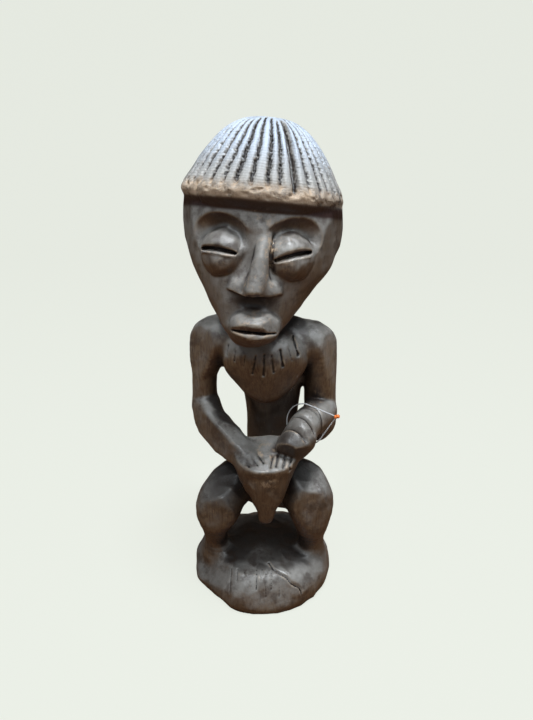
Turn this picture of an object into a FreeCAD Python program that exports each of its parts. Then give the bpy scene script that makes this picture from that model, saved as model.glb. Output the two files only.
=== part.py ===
"""Fertility doll: a squatting figure carved with its round base from one block of dark wood,
and the thin loop with its clip that hangs loose round the figure's left wrist.

Frame: millimetres, +Z up, origin at the middle of the base's flat underside, the figure faces -Y,
so the figure's left hand is on +X.
"""
import FreeCAD, Part
import math
import os

import Sketcher

Vector, Rotation, Placement = FreeCAD.Vector, FreeCAD.Rotation, FreeCAD.Placement

# The driving dimensions: alias, millimetres or degrees, what it is.
DIMENSIONS = [
    ("log_radius", 48.5, "radius of the log that the doll is cut from"),
    ("base_foot_radius", 47.0, "flat underside of the base"),
    ("base_height", 37.0, "top of the domed base"),
    ("base_shift_back", -2.5, "middle of the base, along Y"),
    ("body_shift", 1.0, "middle of the body, along X"),
    ("hip_height", 84.0, "hips and thighs"),
    ("knee_height", 73.0, "knees"),
    ("knee_spread", 30.5, "knee centres, either side of the middle"),
    ("knee_forward", 18.0, "knee centres, in front of the axis"),
    ("thigh_radius", 16.5, "thigh and knee"),
    ("ankle_height", 36.0, "where the leg runs into the base"),
    ("ankle_spread", 35.5, "ankles, either side of the middle"),
    ("ankle_radius", 8.0, "ankle"),
    ("waist_shift", 8.0, "the belly stands to the figure's left by this much"),
    ("waist_half_width", 18.0, "narrow belly"),
    ("shoulder_height", 181.0, "shoulder centres"),
    ("shoulder_spread", 35.0, "shoulder centres, either side of the middle"),
    ("shoulder_radius", 13.0, "shoulder"),
    ("elbow_height", 133.0, "elbows"),
    ("elbow_spread", 38.5, "elbow centres, either side of the middle"),
    ("right_arm_radius", 8.4, "slimmest place of the figure's right upper arm"),
    ("left_arm_radius", 11.0, "slimmest place of the figure's left upper arm"),
    ("wrist_radius", 9.6, "wrists"),
    ("wrist_groove", 1.0, "radius of the grooves cut round the left wrist"),
    ("held_half_width", 19.5, "widest place of the tapering form under the hands"),
    ("held_top_height", 127.0, "top of the tapering form"),
    ("held_tip_height", 68.0, "tip of the tapering form"),
    ("head_origin_height", 272.0, "middle of the hair's lower edge"),
    ("head_pitch", 10.0, "head tipped back, degrees"),
    ("head_roll", 4.5, "head leaning to its left, degrees"),
    ("head_yaw", 5.0, "head turned to its right, degrees"),
    ("head_half_width", 47.0, "widest place of the head, under the hair"),
    ("face_length", 82.0, "hair's edge to chin"),
    ("hair_rise", 46.5, "hair's edge to crown"),
    ("hair_flat_radius", 14.0, "smooth crown above the flutes"),
    ("flute_count", 34.0, "flutes round the hair"),
    ("flute_radius", 1.5, "radius of one flute"),
    ("eye_half_width", 12.0, "eyeball"),
    ("face_middle", 1.8, "the face's centre line, to the left of the head's own"),
    ("eye_spread", 20.2, "eye centres, either side of the nose"),
    ("slit_half_height", 1.3, "slit of the eye"),
    ("nose_half_width", 12.0, "nose at the nostrils"),
    ("lip_half_width", 14.0, "muzzle with the lips"),
    ("loop_radius", 13.8, "round part of the wrist loop, to the line's middle"),
    ("loop_reach", 24.5, "wrist loop's middle to its clip"),
    ("line_radius", 0.4, "radius of the line"),
    ("line_end", 1.0, "the line's ends stop this far from the point where they would meet"),
    ("clip_radius", 1.4, "radius of the clip"),
    ("clip_length", 3.4, "length of the clip"),
]

doc = FreeCAD.newDocument("fertility_doll")
sheet = doc.addObject("Spreadsheet::Sheet", "sizes")
for row, (alias, value, note) in enumerate(DIMENSIONS, start=1):
    sheet.set(f"A{row}", alias)
    sheet.set(f"B{row}", str(value))
    sheet.set(f"C{row}", note)
    sheet.setAlias(f"B{row}", alias)
doc.recompute()


def size(alias):
    """One driving dimension, as a number."""
    return float(sheet.get(alias))


def head_frame():
    """Where the head's own axes stand: origin in the middle of the hair's lower edge."""
    yaw = Rotation(Vector(0, 0, 1), -size("head_yaw"))
    roll = Rotation(Vector(0, 1, 0), size("head_roll"))
    pitch = Rotation(Vector(1, 0, 0), -size("head_pitch"))
    origin = Vector(size("body_shift"), -2.0, size("head_origin_height"))
    return Placement(origin, yaw.multiply(roll).multiply(pitch))


HEAD = head_frame()
WORLD = Placement()
CHEST_CENTRE, CHEST_RADII = (size("body_shift") + 2, -9, 172), (29, 20, 21)


def bind(obj, **expressions):
    """Binds properties of a document object to expressions over the sheet."""
    for name, expression in expressions.items():
        obj.setExpression(name, expression)
    return obj


def ellipsoid(name, centre, radii, frame=WORLD, turn=None):
    """An ellipsoid; radii are numbers or expressions for its half sizes along X, Y and Z."""
    obj = doc.addObject("Part::Ellipsoid", name)
    along_x, along_y, along_z = (str(radius) for radius in radii)
    bind(obj, Radius1=along_z, Radius2=along_x, Radius3=along_y)
    obj.Placement = frame.multiply(Placement(Vector(*centre), turn or Rotation()))
    return obj


def section(name, centre, half_width, half_depth, turn=None, frame=WORLD):
    """One ellipse of a loft; its half sizes are expressions, and turn tilts it out of level."""
    obj = doc.addObject("Part::Ellipse", name)
    # An ellipse refuses a minor radius above its major one, so the larger value is set first.
    obj.MajorRadius = size("log_radius") * 2
    bind(obj, MajorRadius=half_width, MinorRadius=half_depth)
    obj.Placement = frame.multiply(Placement(Vector(*centre), turn or Rotation()))
    return obj


def loft(name, sections):
    """A solid through the sections, in order."""
    obj = doc.addObject("Part::Loft", name)
    obj.Sections = sections
    obj.Solid = True
    return obj


def stacked_loft(name, stations, frame=WORLD):
    """A loft through level ellipses; a station is (x, y, z, half width, half depth)."""
    rings = []
    for number, (x, y, z, half_width, half_depth) in enumerate(stations):
        rings.append(section(f"{name}_ring{number}", (x, y, z), half_width, half_depth, frame=frame))
    return loft(name, rings)


def limb(name, stations):
    """A round limb; a station is (x, y, z, radius), and each ring is square to the limb's run.

    From ring to ring the frame turns by the smallest angle, so that the loft isn't twisted.
    """
    points = [Vector(x, y, z) for x, y, z, _ in stations]
    rings = []
    last_run, turn = Vector(0, 0, 1), Rotation()
    for number, (x, y, z, radius) in enumerate(stations):
        before = points[max(number - 1, 0)]
        after = points[min(number + 1, len(points) - 1)]
        run = after.sub(before).normalize()
        turn = Rotation(last_run, run).multiply(turn)
        last_run = run
        rings.append(section(f"{name}_ring{number}", (x, y, z), radius, radius, turn))
    return loft(name, rings)


def fuse(name, pieces):
    """One solid from overlapping pieces."""
    obj = doc.addObject("Part::MultiFuse", name)
    obj.Shapes = pieces
    return obj


def cut(name, base, tool):
    """The base less the tool."""
    obj = doc.addObject("Part::Cut", name)
    obj.Base = base
    obj.Tool = tool
    return obj


def origin_plane(body, role):
    """One of a body's own origin planes."""
    return next(f for f in body.Origin.OriginFeatures if f.Role == role)


def sketch_on(body, name, role):
    """A new sketch on one of the body's own origin planes."""
    sketch = body.newObject("Sketcher::SketchObject", name)
    sketch.AttachmentSupport = (origin_plane(body, role), [""])
    sketch.MapMode = "FlatFace"
    return sketch


def arc_through(start, middle, end):
    """The circular arc from start to end through middle, in a sketch's own plane."""
    a, b, c = (Vector(*p, 0) for p in (start, middle, end))
    return Part.Arc(a, b, c)


def turned_arc(start, middle, end):
    """The same arc as a spline, for a profile: its full turn is then a plain surface."""
    return arc_through(start, middle, end).toBSpline()


def revolve(body, name, sketch):
    """Turns a sketch's profile a full turn about its vertical axis."""
    turned = body.newObject("PartDesign::Revolution", name)
    turned.Profile = sketch
    turned.ReferenceAxis = (sketch, ["V_Axis"])
    turned.Angle = 360
    return turned


def make_base():
    """The domed round base with its flat underside."""
    body = doc.addObject("PartDesign::Body", "base_mound")
    sketch = sketch_on(body, "base_profile", "XZ_Plane")
    foot, wide, top = size("base_foot_radius"), size("log_radius"), size("base_height")
    shoulder = (wide - 1.5, 0.46 * top)
    sketch.addGeometry(Part.LineSegment(Vector(0, 0, 0), Vector(foot, 0, 0)))
    sketch.addGeometry(arc_through((foot, 0), (wide + 0.5, 0.25 * top), shoulder))
    sketch.addGeometry(turned_arc(shoulder, (0.64 * wide, 0.86 * top), (0, top)))
    sketch.addGeometry(Part.LineSegment(Vector(0, top, 0), Vector(0, 0, 0)))
    revolve(body, "base_turned", sketch)
    body.Placement = Placement(Vector(0, size("base_shift_back"), 0), Rotation())
    return body


def make_legs():
    """Both bent legs as one arch: right foot and knee, the hips, left knee and foot."""
    middle, hip, ankle = size("body_shift"), size("hip_height"), size("ankle_height")
    knee_y = -size("knee_forward")
    legs = {}
    for side in (-1, 1):
        knee_x, knee_z = middle + side * size("knee_spread"), size("knee_height") + side * 2
        ankle_x = middle + side * size("ankle_spread")
        legs[side] = [
            (ankle_x - side * 9, -6, ankle - 19, "sizes.ankle_radius"),
            (ankle_x - side, -12, ankle - 4, "sizes.ankle_radius"),
            (knee_x + side * 3, knee_y + 3, (knee_z + ankle) / 2, "sizes.thigh_radius * 0.74"),
            (knee_x, knee_y, knee_z, "sizes.thigh_radius"),
            (middle + side * 20, -5, hip - side * 2.5, "sizes.thigh_radius"),
        ]
    return limb("legs", legs[-1] + [(middle + 2, 6, hip - 2, "sizes.thigh_radius * 1.05")] + legs[1][::-1])


def make_torso():
    """Hips, the narrow belly that stands off centre, the chest and the neck."""
    middle, waist = size("body_shift"), size("waist_shift")
    return [
        ellipsoid("hips", (middle + 3, 6, size("hip_height") - 3), ("26", "17", "25")),
        stacked_loft("trunk", [
            (middle + 2, 8, 80, "22", "16"),
            (waist, 9, 108, "sizes.waist_half_width", "14"),
            (waist, 9, 132, "sizes.waist_half_width", "13.5"),
            (waist - 2, 5, 150, "24", "17"),
            (middle + 1, 1, 168, "33", "19"),
            (middle, 0, 184, "34", "17"),
            (middle, 1, 196, "24", "14"),
        ]),
        ellipsoid("chest", CHEST_CENTRE, CHEST_RADII),
        stacked_loft("neck", [
            (middle, 2, 186, "17", "15"),
            (middle, 3, 206, "15", "14"),
            (middle, 3, 228, "17", "16"),
        ]),
    ]


def left_forearm():
    """Stations of the left forearm, from the elbow's bend to the back of the hand."""
    elbow_x, elbow_z = size("body_shift") + size("elbow_spread"), size("elbow_height")
    return [
        (elbow_x - 3, -9, elbow_z - 2.5, "sizes.left_arm_radius * 1.08"),
        (elbow_x - 10.5, -20, elbow_z - 1.5, "sizes.wrist_radius * 1.1"),
        (elbow_x - 20, -33, elbow_z - 9, "sizes.wrist_radius * 1.12"),
    ]


def make_arms():
    """Both arms and the shoulders as one arch, from hand to hand, and the hands."""
    middle, shoulder, elbow = size("body_shift"), size("shoulder_height"), size("elbow_height")
    right_shoulder, left_shoulder = middle - size("shoulder_spread"), middle + size("shoulder_spread")
    right_elbow, left_elbow = middle - size("elbow_spread"), middle + size("elbow_spread")
    half_way = (shoulder + elbow) / 2
    return [
        limb("right_arm", [
            (middle + 4, 1, shoulder + 3, "sizes.shoulder_radius * 1.05"),
            (middle - 18, 1, shoulder + 3, "sizes.shoulder_radius * 1.05"),
            (right_shoulder, 0, shoulder - 1, "sizes.shoulder_radius"),
            (right_elbow, 2, half_way, "sizes.right_arm_radius"),
            (right_elbow + 0.5, 1, elbow, "sizes.right_arm_radius * 1.2"),
            (right_elbow + 10, -12, elbow - 12, "sizes.wrist_radius * 1.25"),
            (right_elbow + 24, -26, elbow - 15, "sizes.wrist_radius * 1.12"),
            (right_elbow + 36, -34, elbow - 17, "sizes.wrist_radius * 0.95"),
        ]),
        limb("left_arm", [
            (middle - 4, 1, shoulder + 1.5, "sizes.shoulder_radius"),
            (middle + 18, 1, shoulder + 1.5, "sizes.shoulder_radius"),
            (left_shoulder, 0, shoulder - 3, "sizes.shoulder_radius"),
            (left_elbow - 1, 1, half_way, "sizes.left_arm_radius"),
            (left_elbow - 0.5, 2, elbow + 5, "sizes.left_arm_radius * 1.02"),
        ] + left_forearm()),
        ellipsoid("right_hand", (middle - 7, -33, elbow - 17), ("13", "11", "9")),
        ellipsoid("left_hand", (middle + 16, -33, elbow - 11), ("11", "11", "11")),
    ]


def make_held_form():
    """The form under the hands, which tapers to a blunt tip between the knees."""
    middle, top, tip = size("body_shift"), size("held_top_height"), size("held_tip_height")
    return stacked_loft("held_form", [
        (middle + 2, -22, top, "14", "13"),
        (middle + 2, -28, top - 11, "sizes.held_half_width", "17"),
        (middle + 2, -30, top - 19, "sizes.held_half_width * 0.97", "17"),
        (middle + 3, -31, top - 34, "sizes.held_half_width * 0.66", "12"),
        (middle + 3.5, -33, tip + 12, "7.5", "7.4"),
        (middle + 3.5, -34, tip, "3.5", "3.4"),
    ])


def make_head():
    """The egg-shaped head under the hair, its eyes, nose and lips, in the head's own axes."""
    chin = -size("face_length")
    skull = stacked_loft("skull", [
        (0, -31, chin, "8", "5.5"),
        (0, -28, chin + 6, "15", "10.5"),
        (0, -22, chin + 14, "21", "18"),
        (1, -13, 0.63 * chin, "34", "28"),
        (2, -6, 0.41 * chin, "sizes.head_half_width * 0.945", "36"),
        (1, -2, 0.17 * chin, "sizes.head_half_width * 1.01", "40.5"),
        (0, -1, -1, "sizes.head_half_width * 0.94", "40"),
        (0, 0, 14, "sizes.head_half_width * 0.7", "31"),
    ], HEAD)
    hollows, eyes = [], []
    for name, side in (("right", -1), ("left", 1)):
        eye_x, eye_z = size("face_middle") + side * size("eye_spread"), 0.395 * chin - side
        hollows.append(ellipsoid(f"{name}_brow_hollow", (eye_x, -45, 0.3 * chin), (16.5, 9, 12.5), HEAD))
        wide = f"sizes.eye_half_width * {1 + 0.05 * side}"
        high = f"sizes.eye_half_width * {1.1 + 0.05 * side}"
        eyes.append(ellipsoid(f"{name}_eye", (eye_x, -33.5, eye_z), (wide, 7.5, high), HEAD))
    pieces = [cut("hollowed_skull", skull, fuse("brow_hollows", hollows))] + eyes
    along_bridge, at_nostrils = Rotation(Vector(1, 0, 0), 6), Rotation(Vector(1, 0, 0), 22)
    pieces.append(loft("nose", [
        section("nose_bridge", (4, -37, 0.2 * chin), "4", "3.5", along_bridge, HEAD),
        section("nose_middle", (4, -40, 0.42 * chin), "5.5", "5.5", along_bridge, HEAD),
        section("nose_foot", (3, -41, 0.6 * chin), "sizes.nose_half_width", "7.5", at_nostrils, HEAD),
    ]))
    pieces.append(ellipsoid(
        "muzzle", (4, -35, 0.86 * chin), ("sizes.lip_half_width", "15", "10.5"), HEAD))
    return fuse("bare_head", pieces)


def face_cuts():
    """What is cut from the finished head: the slits of the eyes and the mouth."""
    chin = -size("face_length")
    tools = []
    for name, side in (("right", -1), ("left", 1)):
        tilt = Rotation(Vector(0, 1, 0), -side * 8)
        eye_x = size("face_middle") + side * size("eye_spread")
        centre = (eye_x, -41, 0.395 * chin - side)
        slit = ("sizes.eye_half_width * 0.82", 4, "sizes.slit_half_height")
        tools.append(ellipsoid(f"{name}_slit", centre, slit, HEAD, tilt))
    tools.append(ellipsoid(
        "mouth_slit", (4, -50, 0.87 * chin), ("sizes.lip_half_width * 0.8", 5.5, 2), HEAD))
    return tools


def make_hair():
    """The cap of hair: a dome that overhangs the brow, with flutes from crown to rim."""
    body = doc.addObject("PartDesign::Body", "hair")
    rim, rise, flat = size("log_radius") - 1.2, size("hair_rise"), size("hair_flat_radius")
    side_low, side_mid, side_top = (rim - 0.5, 6), (0.78 * rim, 0.53 * rise), (flat, 0.94 * rise)
    profile = sketch_on(body, "hair_profile", "XZ_Plane")
    profile.addGeometry(Part.LineSegment(Vector(0, 0, 0), Vector(rim - 3, 0, 0)))
    profile.addGeometry(arc_through((rim - 3, 0), (rim + 0.4, 3), side_low))
    profile.addGeometry(turned_arc(side_low, side_mid, side_top))
    profile.addGeometry(turned_arc(side_top, (0.55 * flat, 0.982 * rise), (0, rise)))
    profile.addGeometry(Part.LineSegment(Vector(0, rise, 0), Vector(0, 0, 0)))
    revolve(body, "hair_turned", profile)
    doc.recompute()
    # A flute is a tube swept along the dome's side, from above the rim to the smooth crown.
    side = arc_through(side_low, side_mid, side_top)
    low, high = side.FirstParameter, side.LastParameter
    points = [side.value(low + share * (high - low)) for share in (0.06, 0.5, 0.9)]
    path = sketch_on(body, "flute_path", "XZ_Plane")
    path.addGeometry(Part.Arc(*points))
    ring = body.newObject("Sketcher::SketchObject", "flute_ring")
    ring.AttachmentSupport = (path, ["Edge1"])
    ring.MapMode = "NormalToEdge"
    ring.addGeometry(Part.Circle(Vector(0, 0, 0), Vector(0, 0, 1), size("flute_radius")))
    ring.addConstraint(Sketcher.Constraint("Radius", 0, size("flute_radius")))
    ring.setExpression("Constraints[0]", "sizes.flute_radius")
    doc.recompute()
    flute = body.newObject("PartDesign::SubtractivePipe", "flute")
    flute.Profile = ring
    flute.Spine = (path, ["Edge1"])
    doc.recompute()
    pattern = body.newObject("PartDesign::PolarPattern", "flutes")
    pattern.Originals = [flute]
    pattern.Axis = (profile, ["V_Axis"])
    pattern.Angle = 360
    pattern.setExpression("Occurrences", "sizes.flute_count")
    body.Tip = pattern
    body.Placement = HEAD
    doc.recompute()
    return body


def notches(name, centre, radii, bearings, rise, radius, length):
    """Thin upright cuts round the front of an ellipsoid; rise gives the elevation of each bearing."""
    tools = []
    for number, bearing in enumerate(bearings):
        turn, lift = math.radians(bearing), math.radians(rise(bearing))
        point = Vector(
            centre[0] + radii[0] * math.cos(lift) * math.sin(turn),
            centre[1] - radii[1] * math.cos(lift) * math.cos(turn),
            centre[2] + radii[2] * math.sin(lift))
        lean = Rotation(Vector(0, 0, 1), bearing).multiply(Rotation(Vector(1, 0, 0), -rise(bearing)))
        tool = doc.addObject("Part::Cylinder", f"{name}{number}")
        tool.Radius, tool.Height = radius, length
        half_down = Placement(Vector(0, 0, -length / 2), Rotation())
        tool.Placement = Placement(point, lean).multiply(half_down)
        tools.append(tool)
    return tools


def body_cuts():
    """What is cut from the body: the collar, the fingers and the grooves round the left wrist."""
    tools = notches(
        "collar_cut", CHEST_CENTRE, CHEST_RADII, range(-46, 60, 12),
        lambda bearing: 0.0105 * (bearing + 5) ** 2 - 3, 1.1, 9)
    fingers_centre = (size("body_shift") + 2, -28, size("held_top_height") - 11)
    tools += notches(
        "finger_cut", fingers_centre, (size("held_half_width"), 17, 10), range(-56, 60, 14),
        lambda bearing: 0, 0.9, 10)
    elbow_end, wrist, hand = [Vector(*station[:3]) for station in left_forearm()]
    for name, start, end, share in (("inner", elbow_end, wrist, 0.7), ("outer", wrist, hand, 0.4)):
        groove = doc.addObject("Part::Torus", f"{name}_wrist_groove")
        bind(groove, Radius1="sizes.wrist_radius * 1.12", Radius2="sizes.wrist_groove")
        run = end.sub(start)
        groove.Placement = Placement(start + run * share, Rotation(Vector(0, 0, 1), run))
        tools.append(groove)
    return tools


def loop_frame():
    """Where the wrist loop's plane stands: origin in its middle, X towards the clip, Z its axis."""
    to_clip, axis = Vector(0.785, -0.432, 0.445), Vector(0.531, 0.839, -0.122)
    return Placement(Vector(28.3, -19.5, 131), Rotation(to_clip, Vector(), axis, "ZXY"))


def make_loop():
    """The loop of thin line: a round part and two straight ends that run together into the clip."""
    body = doc.addObject("PartDesign::Body", "wrist_loop")
    radius, reach = size("loop_radius"), size("loop_reach")
    half_angle = math.acos(radius / reach)
    touch = Vector(radius * math.cos(half_angle), radius * math.sin(half_angle), 0)
    # The line's two ends stop short of the point where they would meet, inside the clip.
    free_end = Vector(reach, 0, 0) + (touch - Vector(reach, 0, 0)).normalize() * size("line_end")
    path = sketch_on(body, "loop_path", "XY_Plane")
    path.addGeometry(Part.LineSegment(free_end, touch))
    path.addGeometry(arc_through(touch[:2], (-radius, 0), (touch.x, -touch.y)))
    path.addGeometry(Part.LineSegment(Vector(touch.x, -touch.y, 0), Vector(free_end.x, -free_end.y, 0)))
    ring = body.newObject("Sketcher::SketchObject", "line_ring")
    ring.AttachmentSupport = (path, ["Edge1"])
    ring.MapMode = "NormalToEdge"
    ring.addGeometry(Part.Circle(Vector(0, 0, 0), Vector(0, 0, 1), size("line_radius")))
    ring.addConstraint(Sketcher.Constraint("Radius", 0, size("line_radius")))
    ring.setExpression("Constraints[0]", "sizes.line_radius")
    doc.recompute()
    line = body.newObject("PartDesign::AdditivePipe", "line")
    line.Profile = ring
    line.Spine = (path, ["Edge1", "Edge2", "Edge3"])
    body.Placement = loop_frame()
    return body


def make_clip(loop):
    """The small barrel-shaped clip at the loop's far end, with blind holes for the line's ends."""
    barrel = doc.addObject("PartDesign::Body", "clip_barrel")
    radius, half_length = size("clip_radius"), size("clip_length") / 2
    profile = sketch_on(barrel, "clip_profile", "XZ_Plane")
    end = 0.7 * radius
    profile.addGeometry(Part.LineSegment(Vector(0, -half_length, 0), Vector(end, -half_length, 0)))
    profile.addGeometry(arc_through((end, -half_length), (radius, 0), (end, half_length)))
    profile.addGeometry(Part.LineSegment(Vector(end, half_length, 0), Vector(0, half_length, 0)))
    profile.addGeometry(Part.LineSegment(Vector(0, half_length, 0), Vector(0, -half_length, 0)))
    revolve(barrel, "clip_turned", profile)
    along_loop = Placement(Vector(size("loop_reach"), 0, 0), Rotation(Vector(0, 1, 0), 90))
    barrel.Placement = loop_frame().multiply(along_loop)
    doc.recompute()
    return cut("loop_clip", barrel, loop)


wood = [make_base(), make_legs()]
wood += make_torso()
wood += make_arms()
wood += [make_held_form(), make_head(), make_hair()]
block = fuse("block", wood)
carving = fuse("carving_cuts", face_cuts() + body_cuts())
figure = cut("carved_figure", block, carving)
loop = make_loop()
clip = make_clip(loop)
doc.recompute()

# Every object must have recomputed cleanly, and every piece must be one valid solid.
for obj in doc.Objects:
    if "Invalid" in obj.State or "Error" in obj.State:
        raise ValueError(f"{obj.Name} is {obj.State}")
os.makedirs("parts", exist_ok=True)
for piece in (figure, loop, clip):
    piece.Label = piece.Name
    shape = piece.Shape
    if shape.isNull() or not shape.isValid() or len(shape.Solids) != 1:
        raise ValueError(f"{piece.Name} is not one valid solid")
    shape.Solids[0].exportStep(f"parts/{piece.Name}.step")
    print(piece.Name, round(shape.Volume, 3))
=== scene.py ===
"""A carved wooden doll with a line loop round its left wrist, built round its CAD frame.

The figure is one distance field, sculpted in millimetres in the CAD frame and then meshed.
x runs to the viewer's right, y away from the viewer, and z up from the floor.
"""

import math
from concurrent.futures import ThreadPoolExecutor
from types import SimpleNamespace

import bpy
import numpy as np
import openvdb
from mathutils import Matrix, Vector


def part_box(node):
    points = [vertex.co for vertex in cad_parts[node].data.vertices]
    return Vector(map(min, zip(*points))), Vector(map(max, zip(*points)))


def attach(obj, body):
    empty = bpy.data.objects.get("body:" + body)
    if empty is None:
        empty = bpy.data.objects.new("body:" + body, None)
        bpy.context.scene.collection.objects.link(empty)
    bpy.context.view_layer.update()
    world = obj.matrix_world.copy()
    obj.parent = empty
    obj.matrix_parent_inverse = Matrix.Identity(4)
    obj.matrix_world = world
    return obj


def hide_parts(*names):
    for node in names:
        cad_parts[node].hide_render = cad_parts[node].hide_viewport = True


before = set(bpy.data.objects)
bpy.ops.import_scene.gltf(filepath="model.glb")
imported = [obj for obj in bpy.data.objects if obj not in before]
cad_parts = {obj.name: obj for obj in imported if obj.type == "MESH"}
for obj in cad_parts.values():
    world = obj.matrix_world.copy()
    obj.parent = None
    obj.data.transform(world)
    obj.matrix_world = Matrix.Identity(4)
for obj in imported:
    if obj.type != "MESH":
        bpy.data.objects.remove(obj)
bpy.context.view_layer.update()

# ---------------------------------------------------------------- sizes from the frame

DESIGN_HEIGHT = 318.3  # the sculpt below is written for a figure this tall, in millimetres
FIGURE_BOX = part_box("carved_figure")
MM = (FIGURE_BOX[1].z - FIGURE_BOX[0].z) / DESIGN_HEIGHT

# How finely the sculpt is meshed, in millimetres, and how the work is shared out.
VOXEL = 0.68
COARSE = 4  # voxels along a block that is kept or passed over whole
THREADS = 4
CHUNK = 60000  # points handled at a time

# ---------------------------------------------------------------- distance shapes


def unit(vector):
    vector = np.asarray(vector, float)
    return vector / np.linalg.norm(vector)


def turn_about(axis, degrees):
    """The rotation matrix about an axis."""
    x, y, z = unit(axis)
    c, s = math.cos(math.radians(degrees)), math.sin(math.radians(degrees))
    return np.array([
        [c + x * x * (1 - c), x * y * (1 - c) - z * s, x * z * (1 - c) + y * s],
        [y * x * (1 - c) + z * s, c + y * y * (1 - c), y * z * (1 - c) - x * s],
        [z * x * (1 - c) - y * s, z * y * (1 - c) + x * s, c + z * z * (1 - c)],
    ])


def join(a, b, soft):
    """The union of two distances, blended over a width."""
    h = np.maximum(soft - np.abs(a - b), 0) / soft
    return np.minimum(a, b) - h * h * soft / 4


def meet(a, b, soft):
    """What two shapes share, with the edge between them rounded over a width."""
    return -join(-a, -b, soft)


def carve(a, b, soft):
    """The first shape less the second."""
    return -join(-a, b, soft)


def ramp(value, low, high):
    """0 below low, 1 above high, and a smooth rise between."""
    t = np.clip((value - low) / (high - low), 0, 1)
    return t * t * (3 - 2 * t)


def bump(value, width):
    """1 at zero, fading to nothing about twice the width away."""
    return np.exp(-((value / width) ** 2))


def ellipsoid(p, centre, radii):
    q = p - np.asarray(centre, float)
    r = np.asarray(radii, float)
    near = np.linalg.norm(q / r, axis=1)
    return near * (near - 1) / np.maximum(np.linalg.norm(q / (r * r), axis=1), 1e-9)


def plane(p, normal, through):
    """Distance in front of a plane, which is outside what it cuts."""
    normal = unit(normal)
    return p @ normal - normal @ np.asarray(through, float)


def rod(p, a, b, radius_a, radius_b):
    a, b = np.asarray(a, float), np.asarray(b, float)
    run = b - a
    t = np.clip((p - a) @ run / (run @ run), 0, 1)
    return np.linalg.norm(p - a - t[:, None] * run, axis=1) - (radius_a + (radius_b - radius_a) * t)


def smooth_run(x, xs, ys):
    """A curve through the stations that never overshoots them."""
    xs, ys = np.asarray(xs, float), np.asarray(ys, float)
    step = np.diff(xs)
    rise = np.diff(ys) / step
    slope = np.empty(len(xs))
    slope[0], slope[-1] = rise[0], rise[-1]
    same = rise[:-1] * rise[1:] > 0
    slope[1:-1] = np.where(same, 2 * rise[:-1] * rise[1:] / np.where(same, rise[:-1] + rise[1:], 1), 0)
    x = np.clip(x, xs[0], xs[-1])
    i = np.clip(np.searchsorted(xs, x) - 1, 0, len(xs) - 2)
    t = (x - xs[i]) / step[i]
    return (
        (2 * t**3 - 3 * t**2 + 1) * ys[i]
        + (t**3 - 2 * t**2 + t) * step[i] * slope[i]
        + (3 * t**2 - 2 * t**3) * ys[i + 1]
        + (t**3 - t**2) * step[i] * slope[i + 1]
    )


LIMB_STEPS = 4  # rods between one station and the next


def limb(p, stations):
    """A tapered run of rods along a smooth curve through (x, y, z, radius) stations."""
    table = np.array(stations, float)
    length = np.r_[0, np.cumsum(np.linalg.norm(np.diff(table[:, :3], axis=0), axis=1))]
    spans = zip(length[:-1], length[1:])
    along = np.unique(np.concatenate([np.linspace(a, b, LIMB_STEPS + 1) for a, b in spans]))
    curve = np.stack([smooth_run(along, length, table[:, k]) for k in range(4)], axis=1)
    distance = np.full(len(p), 1e3)
    for a, b in zip(curve[:-1], curve[1:]):
        distance = np.minimum(distance, rod(p, a[:3], b[:3], a[3], b[3]))
    return distance


def stack(p, stations, soft=3):
    """Level ellipses (x, y, z, half width, half depth) run together, lowest first."""
    table = np.array(stations, float)
    z, heights = p[:, 2], table[:, 2]
    x0, y0, wide, deep = (smooth_run(z, heights, table[:, k]) for k in (0, 1, 3, 4))
    dx, dy = p[:, 0] - x0, p[:, 1] - y0
    near = np.hypot(dx / wide, dy / deep)
    side = near * (near - 1) / np.maximum(np.hypot(dx / wide**2, dy / deep**2), 1e-6)
    ends = np.maximum(heights[0] - z, z - heights[-1])
    return meet(side, ends, soft)


def stroke(flat, a, b):
    """Distance of 2-D points from the line between two of them."""
    a, b = np.asarray(a, float), np.asarray(b, float)
    run = b - a
    t = np.clip((flat - a) @ run / (run @ run), 0, 1)
    return np.linalg.norm(flat - a - t[:, None] * run, axis=1)


def waves(p, length, seed):
    """A smooth random field, about -1 to 1, with features about the given length."""
    rng = np.random.default_rng(seed)
    total = np.zeros(len(p))
    for _ in range(8):
        direction = unit(rng.normal(size=3)) * (2 * math.pi / length) * rng.uniform(0.6, 1.3)
        total += np.sin(p @ direction + rng.uniform(0, 7))
    return total / 4


# ---------------------------------------------------------------- base and legs

BASE_RADIUS = 48.7
BASE_EDGE = 14.0  # the radius of the rounding at its rim
BASE_MIDDLE = (-0.3, -2.8, 10.0)
BASE_HALF_HEIGHT = 17.0

# Short gouges down the front of the mound: x, the y of the back and front end, and depth.
GOUGES = (
    (-21.5, -33, -44, 1.0), (-17, -35, -42, 0.9), (-11.5, -36, -41, 0.6), (-3.5, -33, -47, 0.9),
    (0, -36, -44, 0.6), (3, -37, -48, 0.7), (6.5, -38, -46, 0.8), (12, -41, -47, 0.6),
)
# The crack's path over the mound, in x and y.
CRACK = ((4.6, -30.6), (7.6, -35.4), (12.8, -39.8), (19.4, -42.8), (27.0, -43.6))


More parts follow.
